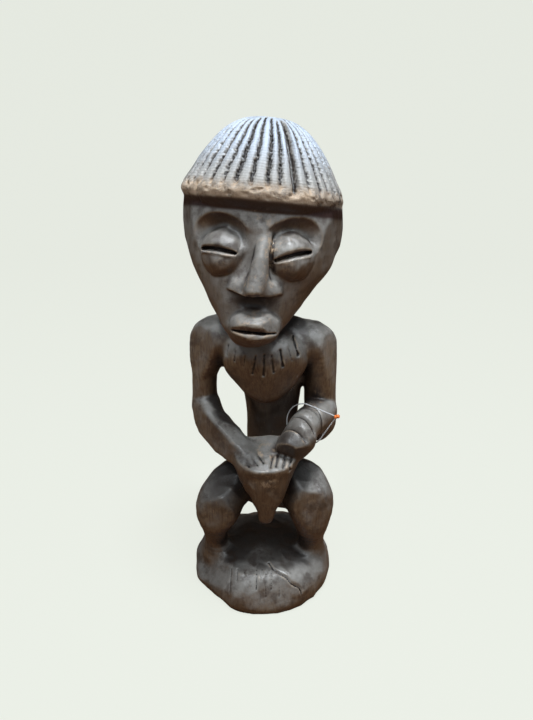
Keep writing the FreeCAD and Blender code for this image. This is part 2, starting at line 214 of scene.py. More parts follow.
def base(p):
    q = p - np.array(BASE_MIDDLE)
    around = np.arctan2(q[:, 1], q[:, 0])
    wide = BASE_RADIUS + 0.6 * np.sin(2 * around + 0.6)
    a = np.hypot(q[:, 0], q[:, 1]) - (wide - BASE_EDGE)
    b = np.abs(q[:, 2]) - (BASE_HALF_HEIGHT - BASE_EDGE)
    drum = np.hypot(np.maximum(a, 0), np.maximum(b, 0)) + np.minimum(np.maximum(a, b), 0) - BASE_EDGE
    dome = ellipsoid(p, (2, -6, 10), (45.0, 43.0, 20.2))
    shape = join(drum, dome, 6)
    # three knife-cut facets on the viewer's left, and a broad flat one at the front
    shape = meet(shape, plane(p, (-0.69, -0.456, 0.557), (-25.4, -28.5, 24.4)), 2.5)
    shape = meet(shape, plane(p, (-0.74, -0.664, 0.107), (-25.4, -40.2, 21.7)), 0.9)
    shape = meet(shape, plane(p, (-0.62, -0.55, -0.56), (-24.8, -44.9, 5.0)), 2)
    shape = meet(shape, plane(p, (0.12, -0.93, 0.35), (0, -46.3, 21)), 3)
    # the mound falls away at the back
    shape = meet(shape, plane(p, (-0.08, 0.53, 0.85), (0, 39.8, 21.8)), 3)
    return shape + base_marks(p)


def base_marks(p):
    """How far the gouges and the crack cut into the mound."""
    flat = p[:, :2] + 0.4 * waves(p, 10, 41)[:, None]
    front = ramp(-p[:, 1], 24, 30) * ramp(p[:, 2], 9, 15)
    cut = np.zeros(len(p))
    for x, back, fore, depth in GOUGES:
        cut += 0.5 * depth * bump(stroke(flat, (x, back), (x - 0.5, fore)), 0.55)
    split = np.full(len(p), 1e3)
    for a, b in zip(CRACK[:-1], CRACK[1:]):
        split = np.minimum(split, stroke(flat, a, b))
    cut += 1.2 * bump(split, 0.5)
    # the wood on the right of the crack stands a little proud of it
    beyond = (flat - np.array(CRACK[2])) @ unit((0.62, 0.78))
    cut -= 0.7 * ramp(beyond, -1.5, 2.0) * bump(split, 8)
    return cut * front


LEG_CENTRE = 1.0


def one_leg(p, side, lift):
    """The leg on one side, with its knee lifted by some millimetres."""
    middle = LEG_CENTRE
    shape = limb(p, (
        (middle + side * 33.5, -10, 24, 10),
        (middle + side * 33.8, -13, 38, 8.5 + 0.6 * side),
        (middle + side * 33.4, -16, 52 + lift, 11.2 + 1.6 * side),
        (middle + side * 31.0, -17, 70 + lift, 16.3 + 0.5 * side),
        (middle + side * 25.3, -11, 79.5 + lift, 16.2),
        (middle + side * 12, 1, 80 - side * 1.5, 15.5),
    ))
    # a flat front and a flat top to the knee, with a cut edge between them
    knee = np.array([middle + side * 30, -29.6, 72 + lift])
    shape = meet(shape, plane(p, (side * 0.16, -0.98, -0.02), knee), 1.6)
    shape = meet(shape, plane(p, (side * 0.26, -0.46, 0.85), knee + (0, 3.2, 13.0)), 1.0)
    return meet(shape, plane(p, (side * 0.88, -0.46, 0.10), knee + (side * 15.0, 5.0, 0)), 1.4)


def legs(p):
    shape = np.minimum(one_leg(p, -1, -3.6), one_leg(p, 1, 2.8))
    hips = ellipsoid(p, (4, 4, 79), (25, 17, 25.5))
    shape = join(shape, hips, 6)
    # the wood is left lower between the thighs on the viewer's right
    shape = join(shape, ellipsoid(p, (15, -6, 68), (11, 10, 8.5)), 5)
    for side in (-1, 1):
        buttock = ellipsoid(p, (4 + side * 12, 14, 82), (14.5, 13, 15))
        shape = join(shape, buttock, 3)
    return shape


# ---------------------------------------------------------------- body and arms

# The cut collar: the top and bottom of each stroke in x and z, and its depth.
COLLAR = (
    (-20.9, 184.4, -21.8, 178.6, 0.9), (-16.4, 182.2, -16.9, 176.4, 0.9),
    (-10.3, 180.4, -11.2, 173.8, 1.1), (-3.7, 181.1, -5.6, 169.3, 1.2),
    (1.6, 181.9, 1.2, 168.9, 1.7), (6.2, 181.8, 7.4, 171.3, 1.3),
    (11.5, 184.3, 13.1, 174.6, 2.0), (16.6, 185.2, 18.7, 178.0, 0.9),
    (19.4, 189.5, 22.6, 180.0, 2.2),
)


def torso(p):
    trunk = stack(p, (
        (4, 8, 76, 22, 16), (7.5, 9, 100, 18.5, 14.5), (7.3, 9, 125, 17.8, 13.5),
        (6.6, 8, 144, 19.6, 15), (4.6, 4, 158, 26.0, 17), (1, 1, 172, 33, 18),
        (1, 0, 186, 33, 16), (1, 1, 198, 22, 13),
    ), 6)
    # the belly is a flat-fronted column
    trunk = meet(trunk, plane(p, (0.05, -0.99, 0.08), (8, -3.6, 125)), 3)
    chest = ellipsoid(p, (2.5, -9, 174), (28, 19.5, 22))
    low_chest = ellipsoid(p, (3, -13, 159), (16.5, 14, 14.5))
    chest = join(chest, low_chest, 8)
    # flat planes down to the lowest point of the chest, meeting on its centre line
    for side, lean in ((-1, 0.42), (1, 0.40)):
        chest = meet(chest, plane(p, (side * lean, -0.84, -0.30), (3, -28.2, 165)), 3)
    shape = join(trunk, chest, 5)
    neck = limb(p, ((1, 3, 190, 15), (1, 4, 215, 14), (1, 4, 228, 16)))
    shape = join(shape, neck, 6)
    return shape + back_and_collar(p)


def back_and_collar(p):
    """The spine and shoulder-blade hollows behind, and the cut collar in front."""
    x, y, z = p.T
    behind = ramp(y, 4, 9) * ramp(z, 92, 106) * (1 - ramp(z, 184, 198))
    cut = 1.6 * bump(x - 4 + 0.02 * (z - 140), 3) * behind
    front = 1 - ramp(y, -8, -4)
    for x_top, z_top, x_bottom, z_bottom, depth in COLLAR:
        away = stroke(p[:, (0, 2)], (x_top, z_top), (x_bottom, z_bottom))
        cut += 0.62 * depth * bump(away + 0.3 * waves(p, 5, 42), 0.7) * front
    return cut


RIGHT_UPPER_ARM = (
    (1, 1, 185, 12.5), (-18, 1, 186.6, 14.0), (-32.2, 0, 183.4, 14.4), (-36.4, 1, 171, 11.8),
    (-38.4, 3, 157, 8.6), (-39.0, 4.5, 144, 8.4), (-38.4, 4, 134, 9.5),
)
RIGHT_FOREARM = (
    (-37.4, 0.5, 134, 9.9), (-35.5, -3, 127, 11.3), (-28, -12, 120.7, 11.8),
    (-17, -24, 116.0, 10.2), (-9, -31, 112.0, 8.2),
)
LEFT_UPPER_ARM = (
    (1, 1, 184, 12.5), (18, 1, 184.2, 13.2), (35.2, 0, 180.4, 13.6), (38.2, 1, 168, 11.6),
    (39.0, 3.5, 154, 11.0), (39.5, 5.5, 142, 10.8), (39.8, 5, 128, 10.8),
)
LEFT_FOREARM = (
    (39.6, -0.5, 131, 11.5), (37, -7, 131.4, 11.3), (30, -18, 130.9, 10.4), (26.5, -23, 129.6, 10.1),
)
FIST = ((26.5, -23.5, 129.4, 9.8), (23.8, -28.5, 125.4, 11.2), (19.6, -32.2, 121.6, 10.8))
WRIST_RUN = unit((0.531, 0.839, -0.122))  # from the left hand towards the elbow


def arms(p):
    right = join(limb(p, RIGHT_UPPER_ARM), limb(p, RIGHT_FOREARM), 1.6)
    right = meet(right, plane(p, (-0.72, -0.69, 0.05), (-43.6, -3.6, 150)), 1.5)
    right = meet(right, plane(p, (-0.55, -0.52, 0.65), (-43.6, -8.0, 192.4)), 2.0)
    # the left elbow is squared off with flat cuts outside, in front and underneath
    left = limb(p, LEFT_UPPER_ARM)
    left = meet(left, plane(p, (0.80, -0.60, 0.05), (45.9, -5.2, 150)), 1.5)
    elbow = ellipsoid(p, (39.4, 1.5, 125.5), (12.0, 11.5, 17))
    elbow = meet(elbow, plane(p, (0.95, -0.28, 0.05), (50.0, 0, 125)), 1.0)
    left = join(left, meet(elbow, plane(p, (0.72, -0.10, -0.69), (49.2, 0, 118.0)), 1.0), 1.0)
    # the front of the fist is two flat cuts that lean inwards
    fist = meet(limb(p, FIST), plane(p, (-0.40, -0.82, -0.42), (15.6, -37.6, 122.0)), 0.8)
    fist = meet(fist, plane(p, (0.30, -0.86, -0.42), (24.0, -38.4, 120.0)), 0.8)
    forearm = join(limb(p, LEFT_FOREARM), fist, 1.2) + wrist_grooves(p)
    return join(right, join(left, forearm, 1.4), 4)


def wrist_grooves(p):
    """Two cuts across the back of the left wrist and a crease beyond the line."""
    along = p @ WRIST_RUN
    over = ramp(p[:, 2] - 0.35 * p[:, 0], 116, 122)
    near = ramp(-p[:, 1], 3, 9) * ramp(p[:, 0], 10, 14)
    slanted = along + 0.38 * (p[:, 0] - 30) + 10.5
    deep = 2.4 * bump(along + 24.6, 1.0) + 2.8 * bump(along + 32.6, 1.1)
    return (deep * over + 0.9 * bump(slanted, 0.9)) * near


# ---------------------------------------------------------------- the held form

# Finger cuts on the sloping top: each stroke's back and front ends in x and y.
FINGERS = (
    (-17.5, -38.6, -13.6, -42.6), (-11.8, -35.6, -8.0, -42.0), (-8.0, -33.8, -2.8, -41.2),
    (-3.6, -32.6, 1.2, -39.6), (7.2, -34.0, 5.6, -42.6), (11.0, -32.2, 9.0, -42.0),
    (15.4, -33.6, 13.4, -42.6), (19.4, -35.2, 17.6, -41.4),
)


def held(p):
    shape = stack(p, (
        (2.4, -34, 64.0, 2.2, 2.2), (2.5, -34, 66.5, 4.3, 4.2), (2.8, -33.5, 74, 6.8, 6.8),
        (3.2, -33, 83, 10.8, 9.8), (2.6, -32, 93, 15.2, 12.6), (2.2, -31, 103, 18.9, 14.6),
        (2.6, -30.5, 111, 21.0, 16.2), (3, -31, 119, 20.6, 14.8), (3, -31, 129, 19, 14.5),
    ), 3)
    # the top slopes down to the front from a straight edge at the back
    shape = meet(shape, plane(p, (0, -0.404, 0.915), (3, -45.5, 111.5)), 1.3)
    shape = meet(shape, plane(p, (0, 1, 0), (3, -19.0, 120)), 1.0)
    cut = 0.8 * np.abs(waves(p, 14, 5)) * (1 - ramp(p[:, 2], 104, 109))
    for x_back, y_back, x_front, y_front in FINGERS:
        away = stroke(p[:, :2], (x_back, y_back), (x_front, y_front)) + 0.2 * waves(p, 4, 43)
        cut += 0.95 * bump(away, 0.75) * ramp(p[:, 2], 107, 110)
    return shape + cut


# ---------------------------------------------------------------- the head

HEAD_AT = np.array([1.0, -2.0, 272.0])  # the middle of the hair's rim
HEAD_TURN = turn_about((0, 0, 1), -5) @ turn_about((0, 1, 0), 4.5) @ turn_about((1, 0, 0), -10)


def to_head(p):
    return (p - HEAD_AT) @ HEAD_TURN


def facing(yaw, roll):
    """Axes of a feature on the face: across, outwards and up, as columns."""
    return turn_about((0, 0, 1), yaw) @ turn_about((0, 1, 0), -roll)


# Each eye: its middle, yaw and roll in degrees, and how much taller the upper lid is.
EYES = (
    ((-18.6, -37.4, -31.2), -23.5, -1.5, 0.0),
    ((22.3, -37.2, -30.2), 23.0, 16.0, 1.0),
)
EYE_RADII = (13.6, 9.8, 13.4)
MUZZLE_AT = (4.4, -34.0, -70.6)
MUZZLE_RADII = (14.6, 17.2, 11.6)
MOUTH_MIDDLE = 4.6
MOUTH_HALF_WIDTH = 13.2
MOUTH_LEVEL = -72.0
MOUTH_DEPTH = 3.8
UPPER_LIP = math.radians(47)  # the slope of each side of the mouth's wedge
LOWER_LIP = math.radians(32)
EYE_SET_BACK = 4.0
SLIT_RISE = 2.6  # how far the slit is above the middle of the ball
SLIT_HALF_LENGTH = 11.8
SLIT_DEPTH = 3.2


def skull(q):
    shape = stack(q, (
        (1, -30, -84, 4, 3), (1, -30, -82, 8, 5.5), (1.5, -28, -76, 14.5, 10),
        (1.7, -21.5, -68, 21.2, 17.5), (1.3, -13, -51.7, 32.0, 28), (1.9, -6, -33.6, 42.9, 36),
        (1.3, -2, -14, 48.2, 40.5), (0, -1, 2, 47, 40),
    ), 3)
    # the sides of the head are cut flat behind the face, which leaves an edge down each cheek
    shape = meet(shape, plane(q, (0.926, -0.370, -0.073), (41.3, -22.6, -7.3)), 0.9)
    return meet(shape, plane(q, (-0.905, -0.416, -0.093), (-38.7, -24.1, -9)), 0.9)


def socket_and_eye(shape, q, eye):
    """The head with one brow scooped out and one eye set in it."""
    centre, yaw, roll, tall = eye
    e = (q - np.array(centre)) @ facing(yaw, roll)
    side = 1 if yaw > 0 else -1
    # the brow is scooped out above the eye and round to the side of the nose
    shape = carve(shape, ellipsoid(e, (side * 1.0, -5.0, 8.5), (23, 11.0, 14.3)), 1.0)
    shape = carve(shape, ellipsoid(e, (-side * 12.5, -5.4, 5), (6.5, 6.4, 12)), 2.5)
    # a ball with an almond slit, the upper lid standing out over the lower
    ball = ellipsoid(e, (0, EYE_SET_BACK, 0), EYE_RADII) + 0.3 * waves(q, 9, 44) + 0.1 * waves(q, 4, 45)
    x, y, z = e.T
    line = z + 0.010 * x * x - SLIT_RISE
    open_part = np.clip(1 - (x / SLIT_HALF_LENGTH) ** 2, 0, 1)
    upper = ramp(line, 0, 1.2) * (1 - ramp(line, 2.5, 9.0))
    ball = ball - (0.9 + 0.5 * tall) * upper * np.sqrt(open_part)
    half_open = 0.5 + (0.9 + 0.3 * tall) * open_part
    ball = ball + SLIT_DEPTH * bump(line + 0.2, half_open) * ramp(open_part, 0.0, 0.25)
    ball = ball - 0.55 * bump(line + 2.3, 0.9) * ramp(open_part, 0.1, 0.6)
    # the lid runs into the brow at the top and the corners, and the pouch has a crisp edge
    return join(shape, ball, 0.8 + 3.4 * ramp(z, -4, 4))


def nose(q):
    shape = limb(q, (
        (5.6, -37.0, -17, 4.4), (5.4, -41.6, -27, 4.6), (4.6, -44.4, -40, 5.2),
        (3.4, -45.4, -49, 5.8), (3.0, -41.0, -58, 4.6),
    ))
    for x in (-6.0, 11.4):
        shape = join(shape, ellipsoid(q, (x, -37.4, -49.8), (6.9, 5.6, 8.2)), 7)
    shape = join(shape, ellipsoid(q, (2.6, -37.5, -54.5), (12.4, 9, 8)), 1.5)
    # the underside is two flat cuts that meet in a ridge, hollowed out below a crisp edge
    for side in (-1, 1):
        shape = meet(shape, plane(q, (side * 0.20, -0.62, -0.76), (3, -49.2, -52.2)), 0.35)
    shape = carve(shape, ellipsoid(q, (3, -44.8, -56.6), (11.2, 5.4, 4.8)), 0.6)
    # the wings end in an edge that rises away from the tip
    for side in (-1, 1):
        shape = meet(shape, plane(q, (side * 0.28, -0.10, -0.95), (3, -44, -54.4)), 0.5)
    return shape


def muzzle(q):
    shape = ellipsoid(q, MUZZLE_AT, MUZZLE_RADII)
    # the top of the upper lip is a flat plane, sloping forward to a crisp edge
    shape = meet(shape, plane(q, (0.06, -0.50, 0.86), (5, -50.2, -66.6)), 0.8)
    shape = meet(shape, plane(q, (0, -0.80, -0.60), (5, -48.4, -77.4)), 2)
    shape = meet(shape, plane(q, (0.80, -0.58, 0.12), (14.8, -42.6, -67)), 0.8)
    x, y, z = q.T
    across = (x - MOUTH_MIDDLE) / MOUTH_HALF_WIDTH
    # a shallow wedge for the mouth, closing at each corner, with a slit at its bottom
    line = z - MOUTH_LEVEL + 0.6 * across**2
    narrow = np.sqrt(np.clip(1 - ((x - MUZZLE_AT[0]) / MUZZLE_RADII[0]) ** 2, 0, 1))
    inner = MUZZLE_AT[1] - MUZZLE_RADII[1] * narrow
    inner = inner + MOUTH_DEPTH * np.sqrt(np.clip(1 - across**2, 0, 1))
    above = line * math.cos(UPPER_LIP) + (y - inner) * math.sin(UPPER_LIP)
    below = -line * math.cos(LOWER_LIP) + (y - inner) * math.sin(LOWER_LIP)
    shape = carve(shape, np.where(line > 0, above, below), 0.4)
    slit = 1.5 * bump(line, 0.4) * ramp(1 - across**2, 0.0, 0.3) * (1 - ramp(y, -40, -36))
    return shape + slit


def face(q):
    shape = skull(q)
    # hollows beside the bridge of the nose
    shape = carve(shape, limb(q, ((-3.6, -45.2, -20, 3.6), (-4.6, -45.0, -38, 4.2))), 2)
    shape = carve(shape, limb(q, ((13.2, -43.6, -24, 2.6), (13.6, -43.0, -38, 3.0))), 2)
    for eye in EYES:
        shape = socket_and_eye(shape, q, eye)
    shape = join(shape, nose(q), 1.2)
    # the lip is scooped out under the nose
    shape = carve(shape, ellipsoid(q, (3, -43.6, -57.4), (12.0, 5.6, 5.2)), 0.8)
    return join(shape, muzzle(q), 2)


# ---------------------------------------------------------------- the hair

HAIR = tuple((-0.7, 0, height, radius, radius) for height, radius in (
    (-12, 46.5), (-4, 46.8), (-0.5, 47.5), (3, 48.2), (7, 47.2), (15, 42.8),
    (24, 37.6), (32, 31.8), (39, 25.4), (44, 19.2), (50, 10),
))
CROWN = 46.6
FLUTES = 36
FIRST_FLUTE = -64.0  # degrees round the head, and the one flute that is cut wide
FLUTE_DEPTH = 2.6
FLUTE_WIDTH = 1.35
WIDE_FLUTE_HALF = 1.9
NOTCH_TURN = -137  # degrees round the head, of a notch cut in the rim


def hair(q):
    x, y, z = q.T
    around = np.arctan2(y, x)
    out = np.hypot(x, y)
    side = stack(q, HAIR, 1) * 0.85
    shape = meet(side, ellipsoid(q, (0, 0, 0), (70, 70, CROWN)), 5)
    # the rim hangs clear of the brow, cut back underneath, and droops at the viewer's right
    droop = 1.6 * bump(around + 0.45, 0.45) + 0.5 * np.sin(5 * around + 1) + 0.3 * np.sin(11 * around)
    under = (out - 47.6 - (z + 1.2 + droop)) * 0.707
    shape = meet(shape, under, 1.6)
    shape = meet(shape, -8 - z, 2)
    return shape + flutes(q, out) + rim_wear(q, around, out)


def flute_turn(q):
    """Degrees round the head from the wide flute, on flutes that swing a little."""
    turn = np.degrees(np.arctan2(q[:, 1], q[:, 0])) - FIRST_FLUTE
    return turn + 2.2 * bump(q[:, 2] - 30, 16) * np.sin(np.radians(2 * turn))


def wide_flute(q):
    """1 in the bottom of the wide flute and 0 outside it."""
    turn = (flute_turn(q) + 180) % 360 - 180
    out = np.hypot(q[:, 0], q[:, 1])
    away = np.radians(np.abs(turn)) * out
    return (1 - ramp(away, WIDE_FLUTE_HALF - 0.5, WIDE_FLUTE_HALF + 0.5)) * ramp(out, 15, 20)


def flutes(q, out):
    """Grooves down the hair from the flat of the crown to the rim."""
    rng = np.random.default_rng(7)
    shift = rng.uniform(-1.3, 1.3, FLUTES)
    depth = FLUTE_DEPTH * rng.uniform(0.75, 1.1, FLUTES)
    width = FLUTE_WIDTH * rng.uniform(0.8, 1.1, FLUTES)
    shift[0], depth[0], width[0] = 0, FLUTE_DEPTH * 1.6, WIDE_FLUTE_HALF
    pitch = 360 / FLUTES
    turn = flute_turn(q)
    number = np.round(turn / pitch).astype(int)
    i = number % FLUTES
    wide = i == 0
    off = np.radians(turn - number * pitch - shift[i]) * out
    ragged = off + 0.22 * waves(q, 2.6, 11) + 0.2 * waves(q, 8, 12)
    widest = (0.19 + 0.16 * wide) * out * math.radians(pitch)
    narrow = np.minimum(width[i], widest + 0.05)
    start = 15.5 + 3 * np.sin(5.1 * i)
    fade = ramp(out, start, start + 6) * ramp(q[:, 2], 3.0 - 2.0 * wide, 8.5 - 3.0 * wide)
    rough = 1 + 0.28 * waves(q, 2.2, 13) * ~wide
    return depth[i] * bump(ragged, narrow) * fade * rough


def rim_wear(q, around, out):
    """Chips and pits along the roll at the bottom of the hair."""
    roll = ramp(out, 43, 46) * bump(q[:, 2] - 3.2, 4.6)
    pits = np.maximum(waves(q, 4.0, 21) + 0.35 * waves(q, 2.2, 22) - 0.25, 0)
    notch = 1.2 * bump((np.degrees(around) - NOTCH_TURN) * 0.8, 1.3) * ramp(8 - q[:, 2], 0, 3)
    return (0.75 * pits + 0.25 * waves(q, 9, 23)) * roll + notch * ramp(out, 43, 46)


# ---------------------------------------------------------------- the whole figure


def within(p, low, high, shape):
    """The distance to a shape, worked out only at heights from low to high."""
    distance = np.full(len(p), 30.0)
    near = (p[:, 2] > low) & (p[:, 2] < high)
    if near.any():
        distance[near] = shape(p[near])
    return distance


def head(p):
    q = to_head(p)
    return join(within(q, -96, 14, face), within(q, -14, 60, hair), 0.8)


def knife_work(p):
    """The slight unevenness a knife leaves: broad flats with soft edges between."""
    long_way = p * np.array([1, 1, 0.55])
    return 0.6 * np.abs(waves(long_way, 19, 31)) + 0.06 * waves(p, 7, 32) - 0.14


def figure(p):
    shape = within(p, -20, 56, base)
    shape = join(shape, within(p, 8, 118, legs), 7)
    body = join(within(p, 60, 240, torso), within(p, 90, 210, arms), 3.5)
    shape = join(shape, body, 5)
    shape = join(shape, within(p, 55, 140, held), 2.2)
    shape = join(shape, within(p, 170, 330, head), 2.5)
    calm = 1 - 0.75 * ramp(p[:, 2], 262, 276)
    return np.maximum(shape + knife_work(p) * calm, -p[:, 2])


# ---------------------------------------------------------------- meshing


def spread(function, points):
    """Run a function over the points in chunks, several at a time."""
    chunks = np.array_split(points, max(1, len(points) // CHUNK))
    with ThreadPoolExecutor(THREADS) as pool:
        return np.concatenate(list(pool.map(function, chunks)))


def surface(function, low, high):
    """Vertices and quads of the surface of a distance field, from its values near the surface."""
    block = VOXEL * COARSE
    counts = np.ceil((high - low) / block).astype(int)
    middles = np.stack(np.meshgrid(*[np.arange(n) for n in counts], indexing="ij"), -1).reshape(-1, 3)
    rough = spread(function, low + (middles + 0.5) * block)
    kept = middles[np.abs(rough) < block * 1.35]
    inner = np.stack(np.meshgrid(*[np.arange(COARSE)] * 3, indexing="ij"), -1).reshape(-1, 3)
    cells = (kept[:, None, :] * COARSE + inner[None]).reshape(-1, 3)
    values = spread(function, low + cells * VOXEL)
    band = 3 * VOXEL
    grid = np.repeat(np.repeat(np.repeat(rough.reshape(counts), COARSE, 0), COARSE, 1), COARSE, 2)
    grid = np.where(grid > 0, band, -band).astype(np.float32)
    grid[tuple(cells.T)] = np.clip(values, -band, band)
    volume = openvdb.FloatGrid(band)
    volume.copyFromArray(grid)
    points, triangles, quads = volume.convertToPolygons(isovalue=0.0, adaptivity=0.0)
    return low + points.astype(float) * VOXEL, quads[:, ::-1].astype(np.int32)


def slopes(function, points, reach):
    """The gradient of a distance field, from four nearby values."""
    corners = np.array([[1, 1, 1], [1, -1, -1], [-1, 1, -1], [-1, -1, 1]], float)
    total = np.zeros_like(points)
    for corner in corners:
        total += spread(function, points + corner * reach)[:, None] * corner
    return total / (4 * reach)


def settle(function, points):
    """Move vertices onto the surface itself, by no more than half a voxel."""
    gradient = slopes(function, points, 0.25)
    length = np.maximum(np.sum(gradient**2, axis=1), 0.3)
    step = (spread(function, points) / length)[:, None] * gradient
    size = np.linalg.norm(step, axis=1)
    limit = np.minimum(1, 0.5 * VOXEL / np.maximum(size, 1e-9))
    return points - step * limit[:, None], gradient


def make_mesh(name, vertices, quads):
    mesh = bpy.data.meshes.new(name)
    mesh.vertices.add(len(vertices))
    mesh.vertices.foreach_set("co", (vertices * MM).astype(np.float32).ravel())
    mesh.loops.add(quads.size)
    mesh.loops.foreach_set("vertex_index", quads.ravel())
    mesh.polygons.add(len(quads))
    mesh.polygons.foreach_set("loop_start", np.arange(0, quads.size, 4, dtype=np.int32))
    mesh.polygons.foreach_set("use_smooth", np.ones(len(quads), bool))
    mesh.update(calc_edges=True)
    mesh.validate()
    piece = bpy.data.objects.new(name, mesh)
    bpy.context.scene.collection.objects.link(piece)
    return piece


def bending(vertices, normals, quads):
    """How sharply the surface turns at each vertex: above 0 on an edge, below 0 in a cut."""
    pairs = np.concatenate([quads[:, [k, (k + 1) % 4]] for k in range(4)])
    a, b = pairs.T
    run = vertices[b] - vertices[a]
    far = np.maximum(np.sum(run**2, axis=1), 1e-6)
    turn = -np.sum(run * (normals[a] - normals[b]), axis=1) / far
    count = np.bincount(a, minlength=len(vertices)) + np.bincount(b, minlength=len(vertices))
    for _ in range(3):
        total = np.bincount(a, turn, len(vertices)) + np.bincount(b, turn, len(vertices))
        mean = total / np.maximum(count, 1)
        turn = (mean[a] + mean[b]) / 2
    return mean


def shelter(function, vertices, normals, reaches):
    """How enclosed each vertex is at some distances, from 0 in the open to 1 in a hollow."""
    closed = np.zeros(len(vertices))
    for reach in reaches:
        clear = spread(function, vertices + normals * reach)
        closed += np.clip(1 - clear / reach, 0, 1) / len(reaches)
    return closed


def paint(piece, name, values):
    layer = piece.data.attributes.new(name, "FLOAT", "POINT")
    layer.data.foreach_set("value", values.astype(np.float32))


# Places that handling has worn pale: a point in millimetres, its size and how strongly.
RUBBED_BODY = (
    ((2.4, -32, 117), 7, 1.0), ((3, -45, 104), 7, 0.8), ((30, -31, 74), 12, 0.22),
    ((-28, -31, 68), 12, 0.18), ((-17, -45, 111), 5, 0.7), ((20, -44, 111), 5, 0.35),
    ((45, -8, 185), 7, 0.3), ((36, -12, 146), 8, 0.4),
)
RUBBED_HEAD = (
    ((9.5, -44, -26), 6, 1.0), ((9.5, -47, -38), 6, 1.0), ((15, -45, -50), 5, 1.0),
    ((-5, -45, -47), 4, 0.8), ((12, -40, -21), 4, 0.6), ((6, -42, -12), 5, 0.5),
    ((5, -50, -68), 9, 0.8), ((22, -42, -17), 7, 0.4), ((-1, -40, -9), 3, 0.9),
    ((2, -47, -46), 5, 0.7), ((20, -48, -34), 6, 0.5), ((-17, -47, -36), 5, 0.4),
)
# Places painted nearly black, in the same way: stains, painted shade on the thigh under the viewer's
# left forearm and on the mound's left facet, and darkening at the ankles.
STAINS_AND_SHADE_BODY = (
    ((15, -37, 129), 10, 1.0), ((24, -38, 120), 8, 0.8), ((-29, -22, 84), 15, 0.8),
    ((-36, -8, 33), 9, 0.5), ((36, -8, 33), 9, 0.5), ((-38, -34, 14), 12, 0.4),
    ((45, -8, 112), 8, 0.6),
)
# on the head, the first three places are painted shadow under the nose and the next two painted shade
# in the brows
STAINS_AND_SHADE_HEAD = (
    ((-5, -39.5, -55.5), 6, 1.0), ((3, -39.5, -57), 6, 1.0), ((11, -39.5, -55.5), 6, 1.0),
    ((-22, -40, -16), 9, 0.4), ((24, -40, -16), 9, 0.4), ((38, -18, -50), 10, 0.5),
    ((45, -14, 2), 12, 0.7), ((38, -28, 0), 8, 0.5), ((-19, -44, -24), 9, 0.4),
    ((-1, -46, -44), 5, 0.6), ((0, -43, -32), 5, 0.5),
)


def marks(points, places):
    """How strongly each point is marked by the places near it, from 0 to 1."""
    total = np.zeros(len(points))
    for place, size, strength in places:
        total += strength * bump(np.linalg.norm(points - np.array(place), axis=1), size)
    return np.clip(total, 0, 1)


def build_figure():
    low = np.array([-55.0, -62.0, -2.0])
    high = np.array([56.0, 52.0, 323.0])
    vertices, quads = surface(figure, low, high)
    vertices, _ = settle(figure, vertices)
    vertices, gradient = settle(figure, vertices)
    vertices[:, 2] = np.maximum(vertices[:, 2], 0)
    normals = gradient / np.maximum(np.linalg.norm(gradient, axis=1), 1e-9)[:, None]
    piece = make_mesh("carved_wood_figure", vertices, quads)
    q = to_head(vertices)
    out = np.hypot(q[:, 0], q[:, 1])
    rim = ramp(out, 43, 46) * ramp(q[:, 2], -2.5, 0.5) * (1 - ramp(q[:, 2], 4.5, 11))
    paint(piece, "edge", bending(vertices, normals, quads))
    paint(piece, "hollow", shelter(figure, vertices, normals, (2.0, 6.0, 14.0)))
    # painted deep shade where the figure's own parts hide the wood from the light, kept off the hands
    # and the shoulders
    hands = ramp(-vertices[:, 1], 12, 26) * ramp(vertices[:, 2], 94, 106)
    shoulders = ramp(np.abs(vertices[:, 0] - 1), 24, 34) * ramp(vertices[:, 2], 168, 182)
    kept_lit = np.maximum(hands, shoulders)
    paint(piece, "out_of_reach", shelter(figure, vertices, normals, (20.0, 30.0, 42.0)) * (1 - kept_lit))
    paint(piece, "rim", rim)
    paint(piece, "crown", ramp(q[:, 2], 2, 9) * (1 - wide_flute(q)))
    # painted shade under the overhang of the hair's rim
    paint(piece, "eaves", ramp(out, 40, 42.5) * ramp(-q[:, 2], 0, 2.5) * (1 - ramp(-q[:, 2], 6, 8.5)))
    paint(piece, "rubbed", marks(vertices, RUBBED_BODY) + marks(q, RUBBED_HEAD))
    paint(piece, "stained", marks(vertices, STAINS_AND_SHADE_BODY) + marks(q, STAINS_AND_SHADE_HEAD))
    paint(piece, "head_height", q[:, 2])
    return piece


# ---------------------------------------------------------------- the wrist loop

LOOP_CENTRE = np.array([28.3, -19.5, 131.0])
LOOP_AXIS = WRIST_RUN
CLIP_WAY = unit((0.785, -0.432, 0.445))
LOOP_RADIUS = 13.8
CLIP_REACH = 24.5
LINE_RADIUS = 0.4
LINE_STEPS = 72


def loop_path():
    """The line's path: round the wrist, then two straight runs in to the clip."""
    side_way = np.cross(LOOP_AXIS, CLIP_WAY)
    open_angle = math.acos(LOOP_RADIUS / CLIP_REACH)
    angles = np.linspace(open_angle, 2 * math.pi - open_angle, LINE_STEPS)
    path = []
    for k, angle in enumerate(angles):
        wobble = 0.22 * math.sin(3 * angle) * LOOP_AXIS
        spot = math.cos(angle) * CLIP_WAY + math.sin(angle) * side_way
        path.append(LOOP_CENTRE + LOOP_RADIUS * spot + wobble)
    tip = LOOP_CENTRE + (CLIP_REACH - 0.4) * CLIP_WAY
    start = [tip + (path[0] - tip) * t for t in np.linspace(0.04, 0.94, 10)]
    end = [tip + (path[-1] - tip) * t for t in np.linspace(0.94, 0.04, 10)]
    return start + path + end


